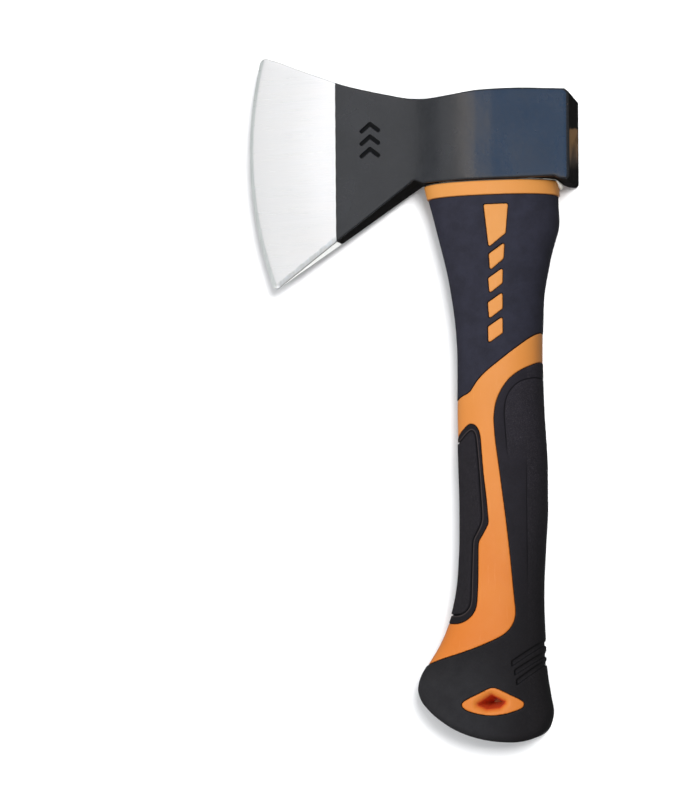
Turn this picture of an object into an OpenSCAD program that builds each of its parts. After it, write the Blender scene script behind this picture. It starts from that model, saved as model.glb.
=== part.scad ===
// Camping hatchet: a forged head on an overmoulded fibreglass handle, lying on its side.
// X runs from the cutting edge to the poll, Y along the handle towards the head, Z up from the rest surface.
// The origin is under the middle of the whole tool. All sizes are in millimetres.

/* [Head] */
// Thickness of the head over the eye, which is also how high the tool lies
head_thick = 26.2; // [25.6:0.2:27]
// Thickness of the head at the poll face
poll_thick = 22; // [20:0.5:24]
// Radius of the cutting edge, seen from the side
edge_radius = 165; // [160:1:170]
// Width of the small finishing bevel along the cutting edge
bevel_w = 1.2; // [0.8:0.1:2]
// Length of the eye, from its blade end to its poll end
eye_len = 49; // [47:0.5:50]
// Width of the eye across the head
eye_w = 19; // [17:0.5:19.5]

/* [Core] */
// Thickness of the fibreglass core
core_t = 12; // [10:0.5:13]
// Width of the core inside the eye
core_top_w = 42; // [38:1:43]
// Width of the core inside the grip
core_low_w = 25; // [22:1:26]

/* [Handle] */
// Thickness of the handle at the butt
butt_t = 26; // [25:0.1:26.1]
// Thickness of the handle at its waist
waist_t = 23.2; // [22:0.2:25]
// Thickness of the soft rubber skin
skin = 2.4; // [1.8:0.1:2.8]
// How far the neck collar stands proud of the soft sleeve
collar_lip = 0.5; // [0.3:0.1:1]
// Thickness of the epoxy film between the collar and the head
film = 0.6; // [0.4:0.1:0.8]
// How far the pale epoxy bead stands out past the collar
bead_out = 1; // [0.6:0.1:1.4]
// Corner radius of the orange bars
bar_r = 0.6; // [0.3:0.1:1]

/* [Hidden] */

z0 = head_thick / 2;          // height of the tool's middle plane
head_low = 85.5;              // underside of the eye, where the handle enters
collar_top = head_low - film;
collar_low = 79;
eye_x = 36;                   // middle of the eye along X
edge_y = 104;                 // height of the edge curve's centre
edge_x = edge_radius - 70;    // the edge's furthest point is 70 from the middle of the tool
section_n = 2.6;              // roundness of the handle's section: 2 is an oval, 4 nearly a box
sides = 44;

// ---------- head ----------

// Side outline of the head. The cutting edge is trimmed round afterwards.
HEAD_SIDE = [
    [-66, 142.5], [-65.5, 143.5], [-64, 144.2], [-56, 141.5], [-47, 137.5], [-38, 134], [-31, 131],
    [-24, 128.5], [-15, 125.5], [-6, 123.5], [2, 121.5], [8, 121], [14, 121], [21, 121.5], [29, 122.5],
    [36, 123], [46, 123], [56, 122.5], [68.5, 121.5], [70, 120], [70, 86.5], [69, head_low],
    [2, head_low], [-48.5, 50.5], [-57, 44.5], [-58.5, 44], [-59.5, 45], [-75, 60], [-75, 142.5]
];

// Half-thickness of the head along X, as a share of the thickest part.
HEAD_PLAN = [
    [-76, 0.02], [-30, 0.38], [-10, 0.55], [-2, 0.63], [4, 0.73], [9, 0.82], [14, 0.91], [19, 0.96],
    [24, 0.99], [28, 1], [38, 1]
];

module head_plan() {
    half = [for (p = HEAD_PLAN) [p[0], p[1] * z0]];
    top = concat(half, [[70, poll_thick / 2]]);
    low = [for (i = [len(top) - 1 : -1 : 0]) [top[i][0], -top[i][1]]];
    polygon(concat(top, low));
}

// The blade's wedge and its small bevel, as a disc about the edge curve's centre.
module edge_disc() {
    r = edge_radius;
    half = [[r, 0.12], [r - bevel_w, 0.75], [r - 15, 2.35], [r - 35, 5.15], [r - 55, 8], [r - 105, 16], [0, 16]];
    low = [for (i = [len(half) - 1 : -1 : 0]) [half[i][0], -half[i][1]]];
    rotate_extrude($fn = 180) polygon(concat(half, low));
}

// A slot outline with round ends.
module slot2d(long, wide) {
    square([long - wide, wide], center = true);
    for (s = [-1, 1]) translate([s * (long - wide) / 2, 0]) circle(d = wide, $fn = 48);
}

// Stands a flat shape across the handle's length, from high down by thick.
module across(high, thick) {
    translate([0, high, z0]) rotate([90, 0, 0]) linear_extrude(thick) children();
}

module axe_head() {
    color("#3d444b") difference() {
        intersection() {
            linear_extrude(head_thick) polygon(HEAD_SIDE);
            across(160, 130) head_plan();
            translate([edge_x, edge_y, z0]) edge_disc();
        }
        across(150, 90) translate([eye_x, 0]) slot2d(eye_len, eye_w);
    }
}

// ---------- core and potting ----------

module core2d() {
    t = core_top_w / 2;
    l = core_low_w / 2;
    polygon([
        [eye_x - t, 121.5], [eye_x + t, 121.5], [eye_x + t, 80], [54, 55], [39 + l, 30], [39 + l, -104],
        [37 + l, -106], [41 - l, -106], [39 - l, -104], [39 - l, 30], [22, 55], [eye_x - t, 80]
    ]);
}

module core_body(grow = 0) {
    translate([0, 0, z0 - core_t / 2]) linear_extrude(core_t) core2d();
}

module fibreglass_core() {
    color("#c9c27a") core_body();
}

module eye_potting() {
    color("#d8d6cc") difference() {
        union() {
            across(121, 121 - head_low) translate([eye_x, 0]) slot2d(eye_len, eye_w);
            across(head_low, film) polygon(section_points(7.5, 63, 11));
            // the bead squeezed out at the poll end of the collar
            across(head_low, film) intersection() {
                polygon(section_points(6, 64 + bead_out, 12 + bead_out / 2));
                translate([57, -20]) square([20, 40]);
            }
        }
        core_body();
    }
}

// ---------- handle ----------

// Edges of the handle, seen from the side: [Y, X] down its length.
LEFT = [
    [86, 6.5], [79, 8.8], [73, 10.5], [67, 12], [60, 14], [53, 15.5], [46, 17], [38, 18.5], [30, 19.5],
    [22, 20.5], [12, 21], [2, 21.2], [-10, 20.8], [-20, 21.2], [-34, 21.5], [-50, 22], [-62, 22],
    [-72, 21.5], [-80, 21], [-86, 20], [-92, 18.5], [-97, 17], [-102, 15], [-106, 13], [-110, 10.5],
    [-114, 8], [-117, 5.5], [-120, 4.2], [-123, 4], [-127, 4], [-150, 4]
];
RIGHT = [
    [86, 63.5], [79, 63.5], [73, 63.5], [67, 63.5], [60, 61.8], [53, 60], [46, 58.5], [38, 57], [30, 56.7],
    [22, 56.5], [12, 56.3], [2, 56.4], [-10, 56.8], [-20, 57.2], [-34, 58], [-50, 58], [-62, 57.2],
    [-72, 56.6], [-80, 56.3], [-86, 56.2], [-92, 56.3], [-97, 56.5], [-102, 56.7], [-106, 56.8],
    [-110, 57], [-114, 57.2], [-117, 57.6], [-120, 58], [-123, 58.4], [-127, 59], [-133, 60.2], [-150, 60.2]
];
// Rounded end of the butt: [X, Y] from its front corner to its back corner.
BUTT_END = [
    [4, -126], [5.5, -128.5], [8.5, -131], [12.5, -134.5], [17, -137.5], [21, -139.5], [25.5, -141.3],
    [30, -142.6], [34, -143.4], [38, -144], [42, -144.2], [46, -144.2], [50.5, -143.7], [54.5, -142.2],
    [57, -140.5], [58.6, -138.5], [59.8, -135.5], [60.2, -133]
];
RINGS = [for (p = LEFT) p[0]];

// Half-thickness of the handle at a height along it.
function half_t(y) = lookup(y, [
    [-150, butt_t / 2], [-115, butt_t / 2], [-90, butt_t / 2 - 0.2], [-50, (butt_t + waist_t) / 4 + 0.2],
    [0, waist_t / 2 + 0.2], [40, waist_t / 2], [60, waist_t / 2 + 0.4], [78, waist_t / 2 + 0.7], [86, waist_t / 2 + 0.4]
]);

function power(v, n) = sign(v) * pow(abs(v), 2 / n);

// Points of the handle's section, from its left edge xl to its right edge xr, t thick each way.
function section_points(xl, xr, t) = [
    for (k = [0 : sides - 1]) let (a = (k + 0.5) * 360 / sides)
        [(xl + xr) / 2 + (xr - xl) / 2 * power(cos(a), section_n), t * power(sin(a), section_n)]
];

// A solid through rings across the handle at heights ys, shrunk all round by shrink.
module loft(ys, shrink = 0) {
    pts = [
        for (y = ys)
            let (xl = lookup(y, LEFT) + shrink, xr = lookup(y, RIGHT) - shrink)
                for (q = section_points(xl, xr, half_t(y) - shrink)) [q[0], y, z0 + q[1]]
    ];
    n = len(ys);
    polyhedron(pts, concat(
        [[for (k = [0 : sides - 1]) k]],
        [for (i = [0 : n - 2]) for (k = [0 : sides - 1])
            let (a = i * sides + k, b = i * sides + (k + 1) % sides) [a, b + sides, b]],
        [for (i = [0 : n - 2]) for (k = [0 : sides - 1])
            let (a = i * sides + k, b = i * sides + (k + 1) % sides) [a, a + sides, b + sides]],
        [[for (k = [sides - 1 : -1 : 0]) (n - 1) * sides + k]]
    ), convexity = 6);
}

module butt2d() {
    polygon(concat([[-20, 100], [-20, -100], [0, -120]], BUTT_END, [[64, -130], [90, -100], [90, 100]]));
}

module through() {
    translate([0, 0, -1]) linear_extrude(head_thick + 2) children();
}

module outer() {
    intersection() {
        loft([for (y = RINGS) if (y <= collar_low) y]);
        through() butt2d();
    }
}

module inner() {
    intersection() {
        loft([for (y = RINGS) if (y <= collar_low) y], skin);
        through() offset(delta = -skin) butt2d();
    }
}

// The first length of handle under the head, with the proud collar.
module collar() {
    ys = [collar_top, collar_low];
    loft(ys, -collar_lip);
}

// Areas of the soft skins, seen from the side.
BARS = [
    [[34.5, 75], [44.5, 75], [43.5, 63], [36.5, 57.5]],
    [[36.5, 54.5], [43, 59], [42.5, 52.5], [37, 48]],
    [[36.2, 44.5], [42.2, 48.5], [42, 42.5], [36.7, 38.5]],
    [[36, 34.5], [42, 38.5], [42, 32], [36.5, 28]],
    [[36, 24.5], [42, 28.5], [42, 22], [36.2, 18]]
];
SLEEVE = [
    [-10, 79], [80, 79], [80, 23.5], [58, 23.5], [56.5, 22.5], [54.5, 21], [52.5, 20], [49, 17], [45, 14.5],
    [41, 11], [37, 8], [32.5, 4.5], [30.5, 1.5], [28.5, -0.5], [28, -1.5], [27, -2.5], [25, -3], [22.5, -4.5],
    [19, -6.5], [-10, -6.5]
];
PALM = [
    [80, 11], [58, 11], [56, 10], [53, 8], [49, 6.5], [45, 4], [43, 1.5], [41.5, -1], [40, -4], [39, -7],
    [38.5, -10], [38.5, -13], [38.5, -16], [39, -22], [40, -28], [41.5, -40], [43, -52], [44.5, -65],
    [45.5, -75], [46.5, -86.5], [47, -90], [47, -92.5], [46.5, -95], [45.5, -97.5], [44.5, -99], [42.5, -101],
    [40, -102.5], [37.5, -103.5], [32.5, -105.5], [28, -107], [24, -108.5], [19.5, -110], [15, -111],
    [10.5, -113], [5, -115], [-10, -115], [-10, -160], [80, -160]
];
FINGER = [
    [22.5, -19.5], [25, -17.5], [27, -15.5], [28, -15], [29.5, -15.5], [31, -16.5], [32, -18], [32.5, -20.5],
    [33, -26], [33.5, -32], [34, -38], [35, -44], [35.5, -50], [36, -54.5], [36, -56], [35, -57.5],
    [33.5, -60.5], [32, -62.5], [31.5, -64], [31.5, -74.5], [31.5, -82.5], [31, -89], [30.5, -91],
    [29, -93.5], [26.5, -95.5], [23.5, -96.5], [21.5, -96.5], [10, -96.5], [10, -22], [21, -20.5]
];
KITE = [
    [24.5, -129], [26, -127], [32.5, -124], [35, -122.5], [37, -122], [39, -122], [44.5, -125], [48.5, -126.5],
    [50, -127.5], [50.2, -129], [49.5, -130], [44.5, -132], [40.5, -133], [36.5, -133.2], [32.5, -133],
    [28, -132], [25.5, -130.5]
];
HOLE = [[29.5, -129], [36.8, -124], [44, -127.5], [40.7, -130.8], [35, -131.5]];

module bars2d() { for (b = BARS) offset(r = bar_r, $fn = 16) offset(delta = -bar_r) polygon(b); }
module sleeve2d() { difference() { polygon(SLEEVE); bars2d(); } }
module palm2d() { difference() { polygon(PALM); polygon(KITE); } }
module finger2d() { polygon(FINGER); }
module hang_hole() { through() offset(r = 0.8, $fn = 16) offset(delta = -0.8) polygon(HOLE); }

// The rubber between the handle's outer surface and the plastic under it, over one area.
module rubber() {
    intersection() {
        difference() {
            outer();
            inner();
        }
        through() children();
    }
}

// resize() with all zeros keeps the size, and makes one mesh of the smooth shapes inside.
module handle_jacket() {
    color("#e8913f") resize([0, 0, 0]) difference() {
        union() {
            collar();
            difference() {
                outer();
                difference() {
                    through() { sleeve2d(); palm2d(); finger2d(); }
                    inner();
                }
            }
        }
        core_body();
        hang_hole();
    }
}

module upper_sleeve() { color("#2d2d33") resize([0, 0, 0]) rubber() sleeve2d(); }
module finger_pad() { color("#2a2829") resize([0, 0, 0]) rubber() finger2d(); }
module palm_grip() { color("#262426") resize([0, 0, 0]) rubber() palm2d(); }

axe_head();
eye_potting();
fibreglass_core();
handle_jacket();
upper_sleeve();
finger_pad();
palm_grip();
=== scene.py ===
import math
import time

import bmesh
import bpy
import numpy as np
from mathutils import Matrix, Vector
from mathutils.geometry import delaunay_2d_cdt


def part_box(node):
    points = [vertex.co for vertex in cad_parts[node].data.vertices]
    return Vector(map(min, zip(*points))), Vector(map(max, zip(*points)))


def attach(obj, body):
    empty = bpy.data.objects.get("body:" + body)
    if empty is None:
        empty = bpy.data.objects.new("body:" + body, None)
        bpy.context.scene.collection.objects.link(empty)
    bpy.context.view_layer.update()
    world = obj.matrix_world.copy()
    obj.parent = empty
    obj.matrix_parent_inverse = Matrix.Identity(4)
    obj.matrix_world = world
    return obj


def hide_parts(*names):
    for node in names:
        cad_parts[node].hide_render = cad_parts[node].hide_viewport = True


T0 = time.time()
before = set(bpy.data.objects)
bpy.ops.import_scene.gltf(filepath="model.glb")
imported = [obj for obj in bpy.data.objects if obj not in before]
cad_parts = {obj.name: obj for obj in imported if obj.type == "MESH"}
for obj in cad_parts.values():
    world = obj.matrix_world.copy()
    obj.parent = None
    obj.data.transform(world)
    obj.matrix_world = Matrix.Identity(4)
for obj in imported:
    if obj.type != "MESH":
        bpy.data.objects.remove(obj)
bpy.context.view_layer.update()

MM = 0.001
PAINT_X = -30.3  # where the black paint stops on the blade, mm
EDGE_X = 51.6  # faint edge down the right of the palm grip, mm
BODY = "root"
_lo, _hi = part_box("axe_head")
Z0 = (_lo[2] + _hi[2]) / 2 * 1000  # height of the tool's middle plane, mm

# ------------------------------------------------------------------ small maths


def pchip(xs, ys):
    """A smooth curve through the points that never overshoots them."""
    o = np.argsort(xs)
    xs, ys = np.asarray(xs, float)[o], np.asarray(ys, float)[o]
    h = np.diff(xs)
    d = np.diff(ys) / h
    m = np.zeros_like(xs)
    same = d[:-1] * d[1:] > 0
    w1, w2 = 2 * h[1:] + h[:-1], h[1:] + 2 * h[:-1]
    with np.errstate(divide="ignore", invalid="ignore"):
        hm = (w1 + w2) / (w1 / d[:-1] + w2 / d[1:])
    m[1:-1] = np.where(same, hm, 0)
    m[0], m[-1] = d[0], d[-1]

    def f(q):
        q = np.clip(q, xs[0], xs[-1])
        i = np.clip(np.searchsorted(xs, q) - 1, 0, len(xs) - 2)
        t = (q - xs[i]) / h[i]
        return (
            ys[i] * (1 + 2 * t) * (1 - t) ** 2
            + h[i] * m[i] * t * (1 - t) ** 2
            + ys[i + 1] * t * t * (3 - 2 * t)
            + h[i] * m[i + 1] * t * t * (t - 1)
        )

    return f


def softened(xs, ys, sigma, lo, hi, step=0.25):
    """The curve through the points, evened out over a few millimetres."""
    f = pchip(xs, ys)
    g = np.arange(lo - 30, hi + 30, step)
    v = f(g)
    below, above = g < min(xs), g > max(xs)
    s0, s1 = f(min(xs) + 0.5) - f(min(xs)), f(max(xs)) - f(max(xs) - 0.5)
    v[below] = f(min(xs)) + (g[below] - min(xs)) * s0 * 2
    v[above] = f(max(xs)) + (g[above] - max(xs)) * s1 * 2
    k = np.exp(-0.5 * (np.arange(-4 * sigma, 4 * sigma + step / 2, step) / sigma) ** 2)
    v = np.convolve(np.pad(v, len(k) // 2, mode="edge"), k / k.sum(), mode="valid")[: len(g)]
    return lambda q: np.interp(q, g, v)


def chaikin(points, rounds=3, closed=True):
    p = np.asarray(points, float)
    for _ in range(rounds):
        q = np.roll(p, -1, axis=0) if closed else p[1:]
        a = p if closed else p[:-1]
        n = np.empty((2 * len(a), 2))
        n[0::2], n[1::2] = a * 0.75 + q * 0.25, a * 0.25 + q * 0.75
        if not closed:
            n = np.vstack([p[:1], n, p[-1:]])
        p = n
    return p


def rounded(points, steps=6):
    """A closed outline from [x, y, corner radius], with its corners rounded."""
    out, n = [], len(points)
    for i, (x, y, r) in enumerate(points):
        p = np.array([x, y], float)
        a = np.array(points[i - 1][:2], float) - p
        b = np.array(points[(i + 1) % n][:2], float) - p
        la, lb = np.linalg.norm(a), np.linalg.norm(b)
        a, b = a / la, b / lb
        c = float(np.clip(a @ b, -0.99999, 0.99999))
        half = math.acos(c) / 2
        if r <= 0 or half > 1.55:
            out.append(p)
            continue
        t = min(r / math.tan(half), 0.49 * la if points[i - 1][2] > 0 else 0.95 * la, 0.49 * lb if points[(i + 1) % n][2] > 0 else 0.95 * lb)
        r = t * math.tan(half)
        centre = p + (a + b) / np.linalg.norm(a + b) * r / math.sin(half)
        u, v = p + a * t - centre, p + b * t - centre
        a0, a1 = math.atan2(u[1], u[0]), math.atan2(v[1], v[0])
        turn = (a1 - a0 + math.pi) % (2 * math.pi) - math.pi
        for k in range(steps + 1):
            q = a0 + turn * k / steps
            out.append(centre + r * np.array([math.cos(q), math.sin(q)]))
    return np.array(out)


def resampled(p, step, closed=True):
    p = np.asarray(p, float)
    q = np.vstack([p, p[:1]]) if closed else p
    s = np.concatenate([[0], np.cumsum(np.linalg.norm(np.diff(q, axis=0), axis=1))])
    n = max(8, int(round(s[-1] / step)))
    t = np.linspace(0, s[-1], n + (0 if closed else 1), endpoint=not closed)
    return np.column_stack([np.interp(t, s, q[:, 0]), np.interp(t, s, q[:, 1])])


def line_distance(path, X, Y, closed=False):
    """Distance from each point to a path, and how far along the path it is."""
    P = np.asarray(path, float)
    Q = np.roll(P, -1, axis=0)
    if not closed:
        P, Q = P[:-1], Q[:-1]
    best = np.full(X.shape, 1e12)
    for (ax, ay), (bx, by) in zip(P, Q):
        dx, dy = bx - ax, by - ay
        t = np.clip(((X - ax) * dx + (Y - ay) * dy) / (dx * dx + dy * dy + 1e-12), 0, 1)
        np.minimum(best, (X - ax - t * dx) ** 2 + (Y - ay - t * dy) ** 2, out=best)
    return np.sqrt(best)


def area_distance(poly, X, Y):
    """Signed distance to a closed outline, negative inside."""
    d = line_distance(poly, X, Y, closed=True)
    P = np.asarray(poly, float)
    Q = np.roll(P, -1, axis=0)
    inside = np.zeros(X.shape, bool)
    for (ax, ay), (bx, by) in zip(P, Q):
        if ay != by:
            inside ^= ((ay > Y) != (by > Y)) & (X < (bx - ax) * (Y - ay) / (by - ay) + ax)
    return np.where(inside, -d, d)


def both(a, b, r):
    """What is inside both, with the edge between them rounded to radius r."""
    u, v = np.maximum(a + r, 0), np.maximum(b + r, 0)
    return np.minimum(np.maximum(a, b), -r) + np.where((u > 0) & (v > 0), np.sqrt(u * u + v * v), np.maximum(u, v))


def step01(x, a, b):
    t = np.clip((x - a) / (b - a), 0, 1)
    return t * t * (3 - 2 * t)


# ------------------------------------------------------------------ mesh helpers


def make_object(name, verts_mm, faces, mats, crease=30, face_mats=None, attrs=None):
    """A named object from points in mm measured from the middle plane. faces is a list of polygons or an (n, k) array."""
    me = bpy.data.meshes.new(name)
    v = np.asarray(verts_mm, float).copy()
    v[:, 2] += Z0
    v *= MM
    if isinstance(faces, np.ndarray):
        n, k = faces.shape
        me.vertices.add(len(v))
        me.vertices.foreach_set("co", v.astype(np.float32).ravel())
        me.loops.add(n * k)
        me.loops.foreach_set("vertex_index", faces.astype(np.int32).ravel())
        me.polygons.add(n)
        me.polygons.foreach_set("loop_start", np.arange(0, n * k, k, dtype=np.int32))
        me.update(calc_edges=True)
    else:
        me.from_pydata(v.tolist(), [], faces)
    me.validate()
    for m in mats:
        me.materials.append(m)
    me.polygons.foreach_set("use_smooth", np.ones(len(me.polygons), bool))
    if face_mats is not None:
        me.polygons.foreach_set("material_index", np.asarray(face_mats, np.int32))
    for key, val in (attrs or {}).items():
        a = me.attributes.new(key, "FLOAT", "POINT")
        a.data.foreach_set("value", np.asarray(val, np.float32))
    me.set_sharp_from_angle(angle=math.radians(crease))
    me.update()
    o = bpy.data.objects.new(name, me)
    bpy.context.scene.collection.objects.link(o)
    return o


def face_outwards(o, crease):
    """Turns every face outwards and marks the sharp edges again."""
    bm = bmesh.new()
    bm.from_mesh(o.data)
    bmesh.ops.recalc_face_normals(bm, faces=bm.faces[:])
    bm.to_mesh(o.data)
    bm.free()
    o.data.set_sharp_from_angle(angle=math.radians(crease))
    o.data.update()


def place(o, node):
    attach(o, BODY)
    if node:
        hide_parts(node)
    return o


def surface_nets(F, xs, ys, zs):
    """Quads around the solid where F is below zero, one point in each cell that the surface crosses."""
    s = F < 0
    nx, ny, nz = F.shape
    c = np.zeros((nx - 1, ny - 1, nz - 1), np.uint8)
    for i in (0, 1):
        for j in (0, 1):
            for k in (0, 1):
                c += s[i : nx - 1 + i, j : ny - 1 + j, k : nz - 1 + k]
    mixed = (c > 0) & (c < 8)
    cells = np.argwhere(mixed)
    idx = np.full(mixed.shape, -1, np.int32)
    idx[mixed] = np.arange(len(cells), dtype=np.int32)
    ci, cj, ck = cells.T
    val = {}
    for i in (0, 1):
        for j in (0, 1):
            for k in (0, 1):
                val[i, j, k] = F[ci + i, cj + j, ck + k].astype(np.float64)
    acc = np.zeros((len(cells), 3))
    cnt = np.zeros(len(cells))
    corners = list(val)
    for a in corners:
        for ax in range(3):
            if a[ax]:
                continue
            b = list(a)
            b[ax] = 1
            va, vb = val[a], val[tuple(b)]
            cross = (va < 0) != (vb < 0)
            t = np.where(cross, va / np.where(cross, va - vb, 1), 0)
            p = np.tile(np.array(a, float), (len(cells), 1))
            p[:, ax] = t
            acc += p * cross[:, None]
            cnt += cross
    p = acc / cnt[:, None]
    hx, hy, hz = xs[1] - xs[0], ys[1] - ys[0], zs[1] - zs[0]
    verts = np.column_stack([xs[0] + (ci + p[:, 0]) * hx, ys[0] + (cj + p[:, 1]) * hy, zs[0] + (ck + p[:, 2]) * hz])
    quads = []
    for ax in range(3):
        sl0 = [slice(None)] * 3
        sl1 = [slice(None)] * 3
        sl0[ax], sl1[ax] = slice(0, -1), slice(1, None)
        a, b = s[tuple(sl0)], s[tuple(sl1)]
        e = np.argwhere(a != b)
        u, w = (ax + 1) % 3, (ax + 2) % 3
        lim = [nx - 1, ny - 1, nz - 1]
        ok = (e[:, u] > 0) & (e[:, w] > 0) & (e[:, u] < lim[u]) & (e[:, w] < lim[w])
        e = e[ok]
        out = a[e[:, 0], e[:, 1], e[:, 2]]
        q = []
        for du, dw in ((1, 1), (0, 1), (0, 0), (1, 0)):
            m = e.copy()
            m[:, u] -= du
            m[:, w] -= dw
            q.append(idx[m[:, 0], m[:, 1], m[:, 2]])
        q = np.array(q).T
        q[~out] = q[~out][:, ::-1]
        quads.append(q)
    quads = np.vstack(quads)
    return verts, quads


def trilinear(F, xs, ys, zs, p):
    n = F.shape
    g = [(p[:, i] - a[0]) / (a[1] - a[0]) for i, a in enumerate((xs, ys, zs))]
    i0 = [np.clip(v.astype(int), 0, n[k] - 2) for k, v in enumerate(g)]
    f = [np.clip(g[k] - i0[k], 0, 1) for k in range(3)]
    out = 0
    for i in (0, 1):
        for j in (0, 1):
            for k in (0, 1):
                w = (f[0] if i else 1 - f[0]) * (f[1] if j else 1 - f[1]) * (f[2] if k else 1 - f[2])
                out = out + w * F[i0[0] + i, i0[1] + j, i0[2] + k]
    return out


def bilinear(G, xs, ys, p):
    gx, gy = (p[:, 0] - xs[0]) / (xs[1] - xs[0]), (p[:, 1] - ys[0]) / (ys[1] - ys[0])
    i, j = np.clip(gx.astype(int), 0, G.shape[0] - 2), np.clip(gy.astype(int), 0, G.shape[1] - 2)
    fx, fy = np.clip(gx - i, 0, 1), np.clip(gy - j, 0, 1)
    return (
        G[i, j] * (1 - fx) * (1 - fy) + G[i + 1, j] * fx * (1 - fy) + G[i, j + 1] * (1 - fx) * fy + G[i + 1, j + 1] * fx * fy
    )


# ------------------------------------------------------------------ materials


class Nodes:
    """Short names for the nodes of one material."""

    def __init__(self, name):
        self.mat = bpy.data.materials.new(name)
        self.mat.use_nodes = True
        self.t = self.mat.node_tree
        self.bsdf = next(n for n in self.t.nodes if n.type == "BSDF_PRINCIPLED")
        self.coord = self.t.nodes.new("ShaderNodeTexCoord").outputs["Object"]

    def link(self, a, b):
        self.t.links.new(a, b)

    def put(self, socket, v):
        if isinstance(v, (int, float)):
            socket.default_value = v
        elif isinstance(v, tuple):
            socket.default_value = v if len(v) == len(socket.default_value) else (*v, 1.0)
        else:
            self.link(v, socket)

    def scaled(self, x, y, z):
        m = self.t.nodes.new("ShaderNodeMapping")
        m.inputs["Scale"].default_value = (x, y, z)
        self.link(self.coord, m.inputs["Vector"])
        return m.outputs["Vector"]

    def noise(self, scale, detail=2.0, rough=0.5, stretch=None, distortion=0.0):
        n = self.t.nodes.new("ShaderNodeTexNoise")
        n.inputs["Scale"].default_value = scale
        n.inputs["Detail"].default_value = detail
        n.inputs["Roughness"].default_value = rough
        n.inputs["Distortion"].default_value = distortion
        self.link(self.scaled(*stretch) if stretch else self.coord, n.inputs["Vector"])
        return n.outputs["Fac"]

    def attr(self, name):
        n = self.t.nodes.new("ShaderNodeAttribute")
        n.attribute_type = "GEOMETRY"
        n.attribute_name = name
        return n.outputs["Fac"]

    def axis(self, which):
        n = self.t.nodes.new("ShaderNodeSeparateXYZ")
        self.link(self.coord, n.inputs[0])
        return n.outputs[which]

    def span(self, v, a, b, c=0.0, d=1.0, smooth=False):
        n = self.t.nodes.new("ShaderNodeMapRange")
        if smooth:
            n.interpolation_type = "SMOOTHSTEP"
        for k, x in zip(("From Min", "From Max", "To Min", "To Max"), (a, b, c, d)):
            n.inputs[k].default_value = x
        self.put(n.inputs["Value"], v)
        return n.outputs["Result"]

    def math(self, op, a, b=0.0, clamp=False):
        n = self.t.nodes.new("ShaderNodeMath")
        n.operation = op
        n.use_clamp = clamp
        self.put(n.inputs[0], a)
        self.put(n.inputs[1], b)
        return n.outputs[0]

    def mix(self, f, a, b, mode="MIX"):
        n = self.t.nodes.new("ShaderNodeMix")
        n.data_type = "RGBA"
        n.blend_type = mode
        self.put(n.inputs["Factor"], f)
        ins = [i for i in n.inputs if i.type == "RGBA"]
        self.put(ins[0], a)
        self.put(ins[1], b)
        return next(o for o in n.outputs if o.type == "RGBA")

    def bump(self, height, strength, distance, normal=None):
        n = self.t.nodes.new("ShaderNodeBump")
        n.inputs["Strength"].default_value = strength
        n.inputs["Distance"].default_value = distance
        self.link(height, n.inputs["Height"])
        if normal is not None:
            self.link(normal, n.inputs["Normal"])
        return n.outputs["Normal"]

    def set(self, **kw):
        names = {"color": "Base Color", "rough": "Roughness", "metal": "Metallic", "normal": "Normal", "spec": "Specular IOR Level",
                 "ior": "IOR", "coat": "Coat Weight", "coat_rough": "Coat Roughness", "sheen": "Sheen Weight", "aniso": "Anisotropic"}
        for k, v in kw.items():
            self.put(self.bsdf.inputs[names[k]], v)
        return self.mat


def lin(r, g, b):
    """A colour given the way a screen shows it, 0 to 255, as linear light."""
    f = lambda c: c / 12.92 if c <= 0.04045 else ((c + 0.055) / 1.055) ** 2.4
    return (f(r / 255), f(g / 255), f(b / 255), 1.0)


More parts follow.
